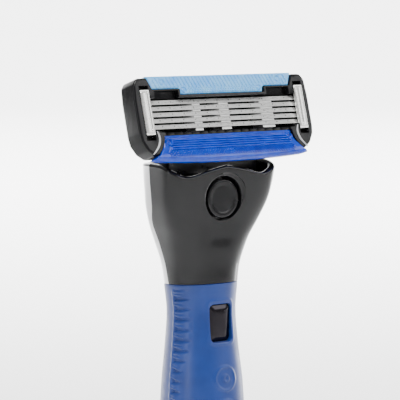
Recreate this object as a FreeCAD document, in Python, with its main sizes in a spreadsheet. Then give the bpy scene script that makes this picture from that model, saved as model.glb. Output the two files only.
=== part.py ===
"""Cartridge razor, in millimetres: +Z runs up the handle to the head, the blades face -Y.

The origin is the centre of the flat butt end. The cartridge is drawn in its own face frame
(x across, y up the blade face, z out of it) and is leaned back by its Placement.
"""
import FreeCAD, Part
import math
import os

import Sketcher

from FreeCAD import Placement, Rotation, Vector

# Driving dimensions, in millimetres and degrees.
SIZES = {
    # Gaps and overlaps used everywhere
    "lap": 0.1,
    "contact_gap": 0.05,
    "hair_gap": 0.02,
    "weld_gap": 0.01,
    # Where the blade face and the pivot lie
    "face_forward": 8.0,
    "face_height": 137.0,
    "face_tilt": 16.0,
    "pivot_down": 3.0,
    "pivot_behind": 6.5,
    # Cartridge frame
    "frame_half": 21.2,
    "frame_top": 7.3,
    "frame_bottom": 8.0,
    "frame_back": 4.5,
    "frame_front": 0.6,
    "frame_corner": 1.2,
    "frame_back_edge": 1.0,
    "frame_front_edge": 0.45,
    "bay_half": 18.1,
    "bay_ledge": 16.6,
    "bay_top": 3.3,
    "bay_bottom": 3.5,
    "bay_end_low": 2.95,
    "bay_floor": 3.95,
    "ledge_floor": 3.2,
    "comb_top": 0.1,
    "comb_low": 4.0,
    "comb_half": 15.4,
    "rinse_low": 1.85,
    "rinse_high": 2.4,
    "comb_pitch": 2.0,
    "comb_end": 0.5,
    "comb_skirt": 0.2,
    "comb_slot": 0.35,
    "comb_slot_floor": 0.35,
    # Strip and guard
    "strip_half": 17.8,
    "strip_corner": 16.8,
    "notch_inset": 0.5,
    "notch_margin": 0.3,
    "strip_flare": 0.5,
    "strip_top": 7.6,
    "strip_shoulder": 5.0,
    "lobe_half": 10.25,
    "lobe_low": 3.85,
    "strip_front": 0.3,
    "strip_back": 1.05,
    "seat_gap": 0.08,
    "guard_front": 0.9,
    "guard_back": 1.0,
    "guard_edge": 0.5,
    # Blades, their supports and the spacer combs
    "blade_pitch": 1.2,
    "blade_first": 2.05,
    "blade_half": 18.0,
    "blade_width": 0.88,
    "blade_thickness": 0.1,
    "grind_width": 0.12,
    "grind_drop": 0.03,
    "blade_sink": 0.31,
    "support_thickness": 0.18,
    "support_start": 0.28,
    "support_foot": 3.15,
    "spacer_high": 0.5,
    "spacer_root": 3.3,
    "spacer_tab": 0.45,
    "spacer_reach": 0.24,
    "spacer_lap": 0.3,
    "spacer_floor": 3.9,
    # Retaining clips
    "clip_inner": 17.8,
    "clip_width": 2.0,
    "clip_high": 4.85,
    "clip_low": 3.9,
    "clip_under": 0.25,
    "clip_sheet": 0.5,
    "clip_hook": 1.2,
    "slot_high": 5.75,
    "slot_low": 5.0,
    "slot_floor": 0.9,
    # Pivot ears, pins and the return nose
    "ear_inner": 6.2,
    "ear_outer": 8.5,
    "ear_radius": 2.1,
    "pin_radius": 1.1,
    "pin_bore": 1.15,
    "pin_inner": 6.3,
    "arm_inner": 8.75,
    "arm_outer": 10.75,
    "arm_radius": 1.7,
    "nose_reach": 2.8,
    "nose_angle": 20.0,
    "nose_radius": 0.6,
    "nose_half": 1.0,
    # Docking hub
    "hub_half": 8.9,
    "hub_front": 3.2,
    "hub_rear": 1.45,
    "hub_foot": 119.0,
    "hub_top": 125.0,
    "beam_top": 127.4,
    "tower_radius": 1.6,
    "tower_top": 130.0,
    "plunger_y": 0.1,
    "plunger_radius": 1.0,
    "plunger_bore": 1.05,
    "plunger_foot": 125.0,
    "plunger_gap": 0.05,
    "return_seat": 120.2,
    # Neck
    "seam_height": 102.7,
    "seam_tilt": 4.0,
    "neck_top": 127.2,
    "neck_wall": 1.1,
    "split_gap": 0.06,
    "button_height": 120.0,
    "button_radius": 3.8,
    "button_hole": 4.4,
    "hole_bevel": 0.45,
    "bevel_depth": 4.0,
    "cover_face": 8.05,
    "button_face": 7.55,
    "flange_front": 5.6,
    "flange_back": 5.1,
    "flange_half": 4.6,
    "flange_high": 124.2,
    "flange_low": 115.6,
    "tongue_half": 2.5,
    "tongue_low": 111.5,
    "wedge_tip": 3.9,
    "cup_radius": 1.7,
    "cup_floor": 6.9,
    "disc_edge": 0.35,
    # Ejector
    "ejector_half": 3.9,
    "ejector_front": 4.0,
    "ejector_rear": 0.4,
    "ejector_leg": 3.2,
    "ejector_top": 118.05,
    "ejector_shelf": 116.9,
    "ejector_gap": 0.2,
    "ramp_sum": 110.0,
    "ramp_gap": 0.07,
    # Core
    "rod_radius": 4.6,
    "rod_foot": 4.2,
    "rod_top": 104.0,
    "plug_radius": 5.4,
    "plug_foot": 103.2,
    "plug_top": 111.3,
    "web_half": 5.5,
    "web_front": 0.2,
    "web_rear": 2.6,
    "web_root": 0.2,
    "cradle_half": 10.4,
    "cradle_front": 4.05,
    "cradle_wall": 3.45,
    "cradle_rear": 1.4,
    "cradle_floor": 117.6,
    "cradle_seat": 118.9,
    "cradle_top": 124.6,
    "cheek_inner": 9.15,
    "seat_wall_low": 119.2,
    # Grip
    "sleeve_bore": 4.65,
    "window_half": 2.65,
    "window_low": 91.3,
    "window_high": 99.0,
    "inlay_gap": 0.12,
    "inlay_front": 6.75,
    "inlay_back": 4.68,
    "inlay_corner": 0.9,
    "pill_edge": 0.4,
    "butt_top": 6.0,
    "butt_flat": 3.9,
    "butt_radius": 5.85,
    "butt_foot_inset": 0.75,
    "butt_foot_rise": 0.9,
    "butt_hip_inset": 0.15,
    "butt_hip_rise": 2.4,
    # Springs
    "return_wire": 0.16,
    "return_coil": 0.75,
    "return_length": 4.5,
    "return_turns": 6.0,
    "button_wire": 0.2,
    "button_coil": 1.3,
    "button_length": 2.4,
    "button_turns": 4.0,
}

# Outer form of the handle: height, half width, half depth, centre in Y, squareness (2 is an ellipse).
NECK_STATIONS = [
    (99.0, 6.80, 6.90, -0.15, 2.2),
    (102.7, 7.16, 7.20, -0.10, 2.2),
    (106.5, 7.60, 7.27, 0.03, 2.4),
    (110.1, 8.70, 7.25, -0.05, 2.8),
    (112.3, 9.60, 7.00, -0.25, 3.2),
    (115.2, 11.04, 6.36, -1.00, 4.0),
    (118.9, 12.50, 5.85, -2.05, 5.0),
    (121.5, 13.00, 5.75, -2.60, 5.6),
    (125.0, 13.35, 5.95, -2.95, 6.0),
    (129.0, 13.55, 6.15, -3.20, 6.0),
]
GRIP_STATIONS = [
    (6.05, 5.85, 5.85, 0.00, 2.1),
    (18.0, 6.10, 6.30, 0.25, 2.1),
    (36.0, 6.90, 7.15, 0.45, 2.1),
    (55.0, 7.85, 8.10, 0.05, 2.1),
    (72.0, 8.30, 8.60, -0.50, 2.2),
    (82.6, 7.90, 8.10, -0.55, 2.2),
    (90.0, 7.15, 7.35, -0.35, 2.2),
    (97.0, 6.70, 6.80, -0.20, 2.2),
    (102.7, 7.16, 7.20, -0.10, 2.2),
    (106.0, 7.40, 7.40, -0.05, 2.2),
]
# Parting line between the front cover and the rear shell, as (Y, Z) from bottom to top.
SPLIT_LINE = [
    (0.4, 100.0), (1.4, 105.0), (1.6, 110.0), (1.1, 115.0), (-0.9, 119.0), (-1.3, 124.0), (-1.3, 130.0),
]
# Top edge of the cover seen from the front, as (X, Z): a middle lobe between two dips.
WAVE_RIGHT = [(0.0, 127.25), (5.0, 126.2), (9.6, 125.15), (13.5, 126.3), (17.0, 127.9)]
WAVE = [(-across, level) for across, level in reversed(WAVE_RIGHT[1:])] + WAVE_RIGHT
SCOOP_RISE = math.radians(20)
SCOOP_REACH = 6.0
SECTION_POINTS = 40
STATION_STEP = 3.0
# Right side of the housing on the face, from foot to top: how far it stands in from the widest line, and v.
FRAME_SIDE = [(2.9, -8.0), (1.3, -6.9), (0.25, -5.1), (0.0, -3.4), (0.0, 3.0), (0.25, 6.1), (1.1, 7.3)]
# Right side of the guard on the face, from its upper corner to the middle of its bowed lower lip.
GUARD_SIDE = [
    (15.6, -4.15), (15.75, -5.2), (16.4, -6.5), (17.4, -7.65), (19.0, -8.75), (17.5, -9.05), (12.3, -9.35),
    (6.0, -9.55), (0.0, -9.6),
]
SPACER_SPANS = {
    "blade_spacer_left": (-7.2, -5.4),
    "blade_spacer_middle": (-0.8, 1.5),
    "blade_spacer_right": (9.4, 12.4),
}
RINSE_SPANS = [(-16.4, -8.2), (-4.2, -1.6), (2.4, 8.3), (12.9, 16.4)]
RINSE_ROWS = 4
BLADE_COUNT = 5
COMB_SLOTS = 15
FAR = 40.0

doc = FreeCAD.newDocument("CartridgeRazor")
sheet = doc.addObject("Spreadsheet::Sheet", "Sizes")
for row, (alias, number) in enumerate(SIZES.items(), 1):
    sheet.set(f"A{row}", alias)
    sheet.set(f"B{row}", str(number))
    sheet.setAlias(f"B{row}", alias)
doc.recompute()

PARTS = []


# ---------------------------------------------------------------- sums of sizes

def words_of(formula):
    """The signed words of a sum such as 'frame_half - jaw_in'."""
    pairs = []
    sign = 1
    for word in str(formula).split():
        if word in ("+", "-"):
            sign = 1 if word == "+" else -1
            continue
        if word.startswith("-"):
            sign, word = -sign, word[1:]
        pairs.append((sign, word))
        sign = 1
    return pairs


def amount(formula):
    """The value of a sum of sizes."""
    return sum(sign * (SIZES[word] if word in SIZES else float(word)) for sign, word in words_of(formula))


def bound(formula):
    """The same sum as an expression on the sheet."""
    terms = []
    for sign, word in words_of(formula):
        terms.append(("+ " if sign > 0 else "- ") + (f"Sizes.{word}" if word in SIZES else word))
    return "0 " + " ".join(terms)


# ---------------------------------------------------------------- sketches and features

def new_body(label, placement=None):
    """A PartDesign body that is written to a file of its own."""
    body = doc.addObject("PartDesign::Body", "".join(word.capitalize() for word in label.split("_")))
    body.Label = label
    if placement:
        body.Placement = placement
    PARTS.append(body)
    return body


def new_sketch(body, name, plane, offset):
    """A sketch on one of the body's own origin planes, moved along the plane's normal."""
    sketch = body.newObject("Sketcher::SketchObject", f"{body.Name}{name}")
    origin_plane = next(item for item in body.Origin.OriginFeatures if item.Role == plane)
    sketch.AttachmentSupport = [(origin_plane, "")]
    sketch.MapMode = "FlatFace"
    sketch.setExpression("AttachmentOffset.Base.z", bound(offset))
    return sketch


def pin_point(sketch, geometry, point, across, along):
    """Holds a point of the sketch at a bound distance from its origin."""
    for kind, formula in (("DistanceX", across), ("DistanceY", along)):
        index = sketch.addConstraint(Sketcher.Constraint(kind, -1, 1, geometry, point, amount(formula)))
        sketch.setExpression(f"Constraints[{index}]", bound(formula))


def draw_outline(sketch, corners):
    """A closed outline of straight edges, each corner bound to the sheet."""
    places = [Vector(amount(across), amount(along), 0) for across, along in corners]
    count = len(corners)
    for index in range(count):
        sketch.addGeometry(Part.LineSegment(places[index], places[(index + 1) % count]), False)
    for index in range(count):
        sketch.addConstraint(Sketcher.Constraint("Coincident", index, 2, (index + 1) % count, 1))
        pin_point(sketch, index, 1, *corners[index])


def draw_circle(sketch, across, along, radius):
    """A circle with its centre and radius bound to the sheet."""
    centre = Vector(amount(across), amount(along), 0)
    sketch.addGeometry(Part.Circle(centre, Vector(0, 0, 1), amount(radius)), False)
    pin_point(sketch, 0, 3, across, along)
    index = sketch.addConstraint(Sketcher.Constraint("Radius", 0, amount(radius)))
    sketch.setExpression(f"Constraints[{index}]", bound(radius))


def extrude(body, name, sketch, low, high, cut):
    """Pads or pockets a sketch from low to high along its normal."""
    before = body.Shape.Volume if cut else 0.0
    feature = body.newObject("PartDesign::Pocket" if cut else "PartDesign::Pad", f"{body.Name}{name}")
    feature.Profile = sketch
    feature.Reversed = cut
    feature.setExpression("Length", f"{bound(high)} - ({bound(low)})")
    doc.recompute()
    if cut and not body.Shape.Volume < before - 1e-6:
        raise RuntimeError(f"{feature.Name} removed nothing")
    return feature


def prism(body, name, plane, corners, low, high, cut=False):
    """A straight-edged outline, extruded."""
    sketch = new_sketch(body, name + "Outline", plane, low)
    draw_outline(sketch, corners)
    return extrude(body, name, sketch, low, high, cut)


def rod(body, name, plane, centre, radius, low, high, cut=False):
    """A round boss or bore."""
    sketch = new_sketch(body, name + "Circle", plane, low)
    draw_circle(sketch, centre[0], centre[1], radius)
    return extrude(body, name, sketch, low, high, cut)


def rectangle(left, right, bottom, top):
    """The four corners of an upright rectangle."""
    return [(left, bottom), (right, bottom), (right, top), (left, top)]


def mirrored(formula):
    """The sum with every sign turned."""
    return " ".join(("- " if sign > 0 else "+ ") + word for sign, word in words_of(formula))


def spans(inner, outer):
    """The two mirror-image spans, right and left of the middle."""
    return {"Right": (inner, outer), "Left": (mirrored(outer), mirrored(inner))}


def round_edges(body, name, radius, chosen):
    """Fillets the edges of the body's tip that the rule chooses."""
    tip = body.Tip
    names = [f"Edge{index}" for index, edge in enumerate(tip.Shape.Edges, 1) if chosen(edge)]
    feature = body.newObject("PartDesign::Fillet", f"{body.Name}{name}")
    feature.Base = (tip, names)
    feature.setExpression("Radius", bound(radius))
    doc.recompute()
    return feature


def flat_at(edge, level):
    """Whether an edge lies in the plane z = level of the body."""
    return all(abs(vertex.Point.z - level) < 1e-4 for vertex in edge.Vertexes)


def upright(edge):
    """Whether an edge runs along the body's z."""
    ends = [vertex.Point for vertex in edge.Vertexes]
    return len(ends) == 2 and math.hypot(ends[0].x - ends[1].x, ends[0].y - ends[1].y) < 1e-4


# ---------------------------------------------------------------- frames of reference

FACE = Placement(
    Vector(0, -SIZES["face_forward"], SIZES["face_height"]),
    Rotation(Vector(1, 0, 0), 90 - SIZES["face_tilt"]),
)
PIVOT = FACE.multVec(Vector(0, -SIZES["pivot_down"], -SIZES["pivot_behind"]))
NOSE_TURN = math.radians(SIZES["face_tilt"] + SIZES["nose_angle"])
NOSE_UP = -SIZES["pivot_down"] + SIZES["nose_reach"] * math.sin(NOSE_TURN)
NOSE_IN = -SIZES["pivot_behind"] - SIZES["nose_reach"] * math.cos(NOSE_TURN)
NOSE_LEVEL = PIVOT.z + SIZES["nose_reach"] * math.sin(math.radians(SIZES["nose_angle"]))
PLUNGER_TOP = NOSE_LEVEL - SIZES["nose_radius"] - SIZES["plunger_gap"]


# ---------------------------------------------------------------- cartridge

def make_frame():
    """The moulded housing: end caps, blade bay, strip and guard seats, pivot ears and return nose."""
    body = new_body("cartridge_frame", FACE)
    right = [(f"frame_half - {inset}", str(along)) for inset, along in FRAME_SIDE[1:-1]]
    right.insert(0, (f"frame_half - {FRAME_SIDE[0][0]}", "-frame_bottom"))
    right.append((f"frame_half - {FRAME_SIDE[-1][0]}", "frame_top"))
    corners = right + [(mirrored(across), along) for across, along in reversed(right)]
    prism(body, "Slab", "XY_Plane", corners, "-frame_back", "frame_front")
    round_edges(body, "Corners", "frame_corner", upright)
    round_edges(body, "BackEdge", "frame_back_edge", lambda edge: flat_at(edge, -SIZES["frame_back"]))
    round_edges(body, "FrontEdge", "frame_front_edge", lambda edge: flat_at(edge, SIZES["frame_front"]))
    bay = rectangle("-bay_ledge", "bay_ledge", "-bay_bottom", "bay_top")
    prism(body, "Bay", "XY_Plane", bay, "-bay_floor", "frame_front", cut=True)
    ends = rectangle("-bay_half", "bay_half", "-bay_end_low", "bay_top")
    prism(body, "BayEnds", "XY_Plane", ends, "-ledge_floor", "frame_front", cut=True)
    for index, (start, stop) in enumerate(RINSE_SPANS):
        for row in range(RINSE_ROWS):
            down = f"- {row * SIZES['blade_pitch']:.2f}"
            slot = rectangle(start, stop, f"rinse_low {down}", f"rinse_high {down}")
            prism(body, f"Rinse{index}{row}", "XY_Plane", slot, "-frame_back", "-bay_floor + lap", cut=True)
    seat = [
        ("-strip_half - strip_flare - seat_gap", "frame_top + 1"),
        ("-strip_corner - seat_gap", "strip_shoulder - seat_gap"),
        ("-lobe_half - seat_gap", "strip_shoulder - seat_gap"),
        ("-lobe_half - seat_gap", "lobe_low - seat_gap"),
        ("lobe_half + seat_gap", "lobe_low - seat_gap"),
        ("lobe_half + seat_gap", "strip_shoulder - seat_gap"),
        ("strip_corner + seat_gap", "strip_shoulder - seat_gap"),
        ("strip_half + strip_flare + seat_gap", "frame_top + 1"),
    ]
    prism(body, "StripSeat", "XY_Plane", seat, "-strip_back", "frame_front", cut=True)
    for side, (low, high) in spans("lobe_half + notch_inset", "strip_corner - notch_margin").items():
        notch = rectangle(low, high, "bay_top - lap", "strip_shoulder - notch_margin")
        prism(body, f"Notch{side}", "XY_Plane", notch, "-slot_floor", "frame_front", cut=True)
    comb = rectangle("-comb_half", "comb_half", "-comb_low - comb_skirt", "-bay_bottom + lap")
    prism(body, "CombTop", "XY_Plane", comb, "comb_top", "frame_front", cut=True)
    slot = rectangle(
        "-comb_half + comb_end", "-comb_half + comb_end + comb_slot", "-comb_low", "-bay_bottom + lap",
    )
    first = prism(body, "CombSlot", "XY_Plane", slot, "-comb_slot_floor", "frame_front", cut=True)
    pattern = body.newObject("PartDesign::LinearPattern", "CombSlots")
    pattern.Originals = [first]
    pattern.Direction = (first.Profile[0], ["H_Axis"])
    pattern.Occurrences = COMB_SLOTS
    pattern.Length = SIZES["comb_pitch"] * (COMB_SLOTS - 1)
    body.Tip = pattern
    doc.recompute()
    lift = {GUARD_SIDE[0]: " + seat_gap"}
    side = [
        (f"{across} + seat_gap", f"{along}{lift.get((across, along), '')}")
        for across, along in GUARD_SIDE[:-1]
    ]
    guard = side + [(mirrored(across), along) for across, along in reversed(side)]
    prism(body, "GuardSeat", "XY_Plane", guard, "-guard_back - hair_gap", "frame_front", cut=True)
    for side, (low, high) in spans("clip_inner - seat_gap", "clip_inner + clip_width + seat_gap").items():
        slot = rectangle(low, high, "-slot_low", "slot_high")
        prism(body, f"ClipSlot{side}", "XY_Plane", slot, "-slot_floor", "frame_front", cut=True)
        for place, (bottom, top) in {
            "High": ("clip_high - clip_sheet - seat_gap", "clip_high + seat_gap"),
            "Low": ("-clip_low - seat_gap", "-clip_low + clip_sheet + seat_gap"),
        }.items():
            leg = rectangle(low, high, bottom, top)
            prism(body, f"Leg{place}{side}", "XY_Plane", leg, "-frame_back", "frame_front", cut=True)
    pivot = ("-pivot_down", "-pivot_behind")
    for side, (low, high) in spans("ear_inner", "ear_outer").items():
        web = rectangle(
            "-pivot_down - ear_radius", "-pivot_down + ear_radius", "-pivot_behind", "-frame_back + lap"
        )
        prism(body, f"EarWeb{side}", "YZ_Plane", web, low, high)
        rod(body, f"Ear{side}", "YZ_Plane", pivot, "ear_radius", low, high)
        rod(body, f"Bore{side}", "YZ_Plane", pivot, "pin_bore", low, high, cut=True)
    rib = rectangle(
        f"{NOSE_UP:.6f} - nose_radius", f"{NOSE_UP:.6f} + nose_radius",
        f"{NOSE_IN:.6f}", "-bay_floor - contact_gap",
    )
    prism(body, "NoseRib", "YZ_Plane", rib, "-nose_half", "nose_half")
    centre = (f"{NOSE_UP:.6f}", f"{NOSE_IN:.6f}")
    rod(body, "Nose", "YZ_Plane", centre, "nose_radius", "-nose_half", "nose_half")


def make_strip():
    """The lubricating strip: a wide bar with a deeper middle lobe."""
    body = new_body("lubricating_strip", FACE)
    outline = [
        ("-strip_half", "strip_top"),
        ("-strip_corner", "strip_shoulder"),
        ("-lobe_half", "strip_shoulder"),
        ("-lobe_half", "lobe_low"),
        ("lobe_half", "lobe_low"),
        ("lobe_half", "strip_shoulder"),
        ("strip_corner", "strip_shoulder"),
        ("strip_half", "strip_top"),
    ]
    prism(body, "Bar", "XY_Plane", outline, "-strip_back + hair_gap", "strip_front")


def make_guard():
    """The rubber guard below the blades, wider at its lower lip."""
    body = new_body("guard_rubber", FACE)
    outline = [(str(across), str(along)) for across, along in GUARD_SIDE]
    outline += [(str(-across), str(along)) for across, along in reversed(GUARD_SIDE[:-1])]
    prism(body, "Pad", "XY_Plane", outline, "-guard_back", "guard_front")
    round_edges(body, "Lip", "guard_edge", lambda edge: flat_at(edge, SIZES["guard_front"]))


def make_blade(index):
    """One blade strip and the bent support it is welded to. The edge points down at the guard."""
    edge = f"blade_first - {index * SIZES['blade_pitch']:.2f}"
    back = f"{edge} + blade_width"
    blade = new_body(f"blade_{index + 1}", FACE)
    strip = [
        (edge, "0"),
        (back, "-blade_sink"),
        (back, "-blade_sink - blade_thickness"),
        (f"{edge} + grind_width", "-blade_thickness - grind_drop"),
    ]
    prism(blade, "Strip", "YZ_Plane", strip, "-blade_half", "blade_half")
    support = new_body(f"blade_support_{index + 1}", FACE)
    slope = SIZES["blade_sink"] / SIZES["blade_width"]
    start_sink = SIZES["support_start"] * slope
    under = "-blade_sink - blade_thickness"
    bent = [
        (back, under),
        (back, "-support_foot"),
        (f"{back} - support_thickness", "-support_foot"),
        (f"{back} - support_thickness", f"{under} - support_thickness"),
        (f"{edge} + support_start", f"-{start_sink:.4f} - blade_thickness - support_thickness"),
        (f"{edge} + support_start", f"-{start_sink:.4f} - blade_thickness - weld_gap"),
    ]
    prism(support, "Bend", "YZ_Plane", bent, "-blade_half", "blade_half")


def make_spacer(label, low, high):
    """A comb that stands between the blade supports and keeps their pitch."""
    body = new_body(label, FACE)
    base = rectangle(low, high, "-bay_bottom + lap", "bay_top - lap")
    prism(body, "Base", "XY_Plane", base, "-spacer_floor", "-spacer_root")
    for index in range(BLADE_COUNT):
        edge = f"blade_first - {index * SIZES['blade_pitch']:.2f}"
        reach = "spacer_reach" if index < BLADE_COUNT - 1 else "spacer_tab"
        tooth = rectangle(low, high, f"{edge} - {reach}", f"{edge} + spacer_lap")
        prism(body, f"Tooth{index}", "XY_Plane", tooth, "-spacer_root - lap", "-spacer_high")


def make_clip(label, low, high):
    """A sheet-metal clip over the blade ends, with a leg through the frame at each end."""
    body = new_body(label, FACE)
    profile = [
        ("-clip_low", "clip_under + clip_sheet"),
        ("-clip_low", "-frame_back - contact_gap - clip_sheet"),
        ("-clip_low + clip_hook", "-frame_back - contact_gap - clip_sheet"),
        ("-clip_low + clip_hook", "-frame_back - contact_gap"),
        ("-clip_low + clip_sheet", "-frame_back - contact_gap"),
        ("-clip_low + clip_sheet", "clip_under"),
        ("clip_high - clip_sheet", "clip_under"),
        ("clip_high - clip_sheet", "-frame_back - contact_gap"),
        ("clip_high - clip_hook", "-frame_back - contact_gap"),
        ("clip_high - clip_hook", "-frame_back - contact_gap - clip_sheet"),
        ("clip_high", "-frame_back - contact_gap - clip_sheet"),
        ("clip_high", "clip_under + clip_sheet"),
    ]
    prism(body, "Bent", "YZ_Plane", profile, low, high)


# ---------------------------------------------------------------- docking hub

def make_hub():
    """The hub that carries the cartridge: foot, cross beam, two arms with stub pins, plunger tower."""
    body = new_body("docking_hub")
    foot = rectangle("-hub_half", "hub_half", "-hub_front", "hub_rear")
    prism(body, "Foot", "XY_Plane", foot, "hub_foot", "hub_top")
    pivot_y, pivot_z = f"{PIVOT.y:.6f}", f"{PIVOT.z:.6f}"
    beam = rectangle("-arm_outer", "arm_outer", f"{pivot_y} - arm_radius", f"{pivot_y} + arm_radius")
    prism(body, "Beam", "XY_Plane", beam, "hub_top - contact_gap", "beam_top")
    for side, (low, high) in spans("arm_inner", "arm_outer").items():
        arm = rectangle(f"{pivot_y} - arm_radius", f"{pivot_y} + arm_radius", "beam_top - lap", pivot_z)
        prism(body, f"Arm{side}", "YZ_Plane", arm, low, high)
        rod(body, f"ArmEnd{side}", "YZ_Plane", (pivot_y, pivot_z), "arm_radius", low, high)
    for side, (low, high) in spans("pin_inner", "arm_inner + lap").items():
        rod(body, f"Pin{side}", "YZ_Plane", (pivot_y, pivot_z), "pin_radius", low, high)
    centre = ("0", "plunger_y")
    rod(body, "Tower", "XY_Plane", centre, "tower_radius", "hub_foot", "tower_top")
    rod(body, "PlungerBore", "XY_Plane", centre, "plunger_bore", "return_seat", "tower_top", cut=True)


def make_plunger():
    """The sprung plunger that pushes the cartridge back to its stop."""
    body = new_body("return_plunger")
    rod(body, "Shank", "XY_Plane", ("0", "plunger_y"), "plunger_radius", "plunger_foot", f"{PLUNGER_TOP:.6f}")


def make_spring(label, coil, wire, length, turns, placement):
    """A round-wire compression spring along the local z."""
    words = label.split("_")[0].capitalize()
    helix = doc.addObject("Part::Helix", f"{words}Helix")
    helix.setExpression("Radius", bound(coil))
    helix.setExpression("Height", bound(length))
    helix.setExpression("Pitch", f"Sizes.{length} / Sizes.{turns}")
    helix.SegmentLength = 1.0
    profile = doc.addObject("Part::Circle", f"{words}WireSection")
    profile.setExpression("Radius", bound(wire))
    profile.Placement = Placement(Vector(SIZES[coil], 0, 0), Rotation(Vector(1, 0, 0), 90))
    sweep = doc.addObject("Part::Sweep", "".join(word.capitalize() for word in label.split("_")))
    sweep.Label = label
    doc.recompute()
    sweep.Sections = [profile]
    sweep.Spine = (helix, [f"Edge{index}" for index in range(1, len(helix.Shape.Edges) + 1)])
    sweep.Solid = True
    sweep.Frenet = True
    sweep.Placement = placement
    PARTS.append(sweep)


# ---------------------------------------------------------------- neck and handle

def section(station, inset):
    """Smooth closed outline of the handle at one height, as a superellipse."""
    level, half_width, half_depth, centre_y, squareness = station
    power = 2.0 / squareness
    points = []
    for step in range(SECTION_POINTS):
        angle = math.pi / 2 + 2 * math.pi * step / SECTION_POINTS
        across, along = math.cos(angle), math.sin(angle)
        points.append(Vector(
            (half_width - inset) * math.copysign(abs(across) ** power, across),
            centre_y + (half_depth - inset) * math.copysign(abs(along) ** power, along),
            level,
        ))
    curve = Part.BSplineCurve()
    curve.interpolate(points, PeriodicFlag=True)
    return Part.Wire([curve.toShape()])


def eased(stations):
    """The stations with more between them, on a smooth cubic, so that the loft can't overshoot."""
    slopes = []
    for index in range(len(stations)):
        low, high = stations[max(index - 1, 0)], stations[min(index + 1, len(stations) - 1)]
        slopes.append([(b - a) / (high[0] - low[0]) for a, b in zip(low, high)])
    fine = [stations[0]]
    for index in range(len(stations) - 1):
        start, stop = stations[index], stations[index + 1]
        gap = stop[0] - start[0]
        steps = max(1, round(gap / STATION_STEP))
        for step in range(1, steps + 1):
            along = step / steps
            rise = along * along * (3 - 2 * along)
            leave = along * (1 - along) ** 2 * gap
            arrive = along * along * (along - 1) * gap
            fine.append(tuple(
                a + (b - a) * rise + leave * m + arrive * n
                for a, b, m, n in zip(start, stop, slopes[index], slopes[index + 1])
            ))
    return fine


def form(name, stations, inset=0.0):
    """A lofted solid through the stations, kept as a tool for the pieces cut from it."""
    feature = doc.addObject("Part::Feature", name)
    feature.Shape = Part.makeLoft([section(station, inset) for station in eased(stations)], True, False)
    return feature


def front_half(name, shift):
    """Everything in front of the parting line, moved in Y by the shift."""
    line = [Vector(-FAR, y + shift, z) for y, z in SPLIT_LINE]
    curve = Part.BSplineCurve()
    curve.interpolate(line)
    ends = [Vector(-FAR, -FAR, line[-1].z), Vector(-FAR, -FAR, line[0].z)]
    wire = Part.Wire([
        curve.toShape(),
        Part.makeLine(line[-1], ends[0]),
        Part.makeLine(ends[0], ends[1]),
        Part.makeLine(ends[1], line[0]),
    ])
    feature = doc.addObject("Part::Feature", name)
    feature.Shape = Part.Face(wire).extrude(Vector(2 * FAR, 0, 0))
    return feature


def seam_block(name, above):
    """A large block that ends on the sloping seam between the grip and the neck."""
    block = doc.addObject("Part::Box", name)
    block.Length = block.Width = 2 * FAR
    block.Height = 4 * FAR
    turn = Rotation(Vector(1, 0, 0), -SIZES["seam_tilt"])
    base = Vector(-FAR, -FAR, 0 if above else -4 * FAR)
    seam_place = Placement(Vector(0, 0, SIZES["seam_height"]), turn)
    block.Placement = seam_place.multiply(Placement(base, Rotation()))
    return block


def cut(name, base, tool):
    """One solid less another."""
    feature = doc.addObject("Part::Cut", name)
    feature.Base, feature.Tool = base, tool
    feature.Refine = False
    return feature


def common(name, base, tool):
    """What two solids share."""
    feature = doc.addObject("Part::Common", name)
    feature.Base, feature.Tool = base, tool
    feature.Refine = False
    return feature


def keep_as(feature, label):
    """Marks a feature as a sub-part."""
    feature.Label = label
    PARTS.append(feature)


def top_wave(name):
    """What lies above the wavy top edge of the cover, a prism that rises towards the back."""
    drop = SCOOP_REACH * math.tan(SCOOP_RISE)
    line = [Vector(across, -SCOOP_REACH - SIZES["face_forward"], level - drop) for across, level in WAVE]
    curve = Part.BSplineCurve()
    curve.interpolate(line)
    lift = Vector(0, 0, FAR)
    wire = Part.Wire([
        curve.toShape(),
        Part.makeLine(line[-1], line[-1] + lift),
        Part.makeLine(line[-1] + lift, line[0] + lift),
        Part.makeLine(line[0] + lift, line[0]),
    ])
    feature = doc.addObject("Part::Feature", name)
    feature.Shape = Part.Face(wire).extrude(Vector(0, FAR * math.cos(SCOOP_RISE), FAR * math.sin(SCOOP_RISE)))
    return feature


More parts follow.
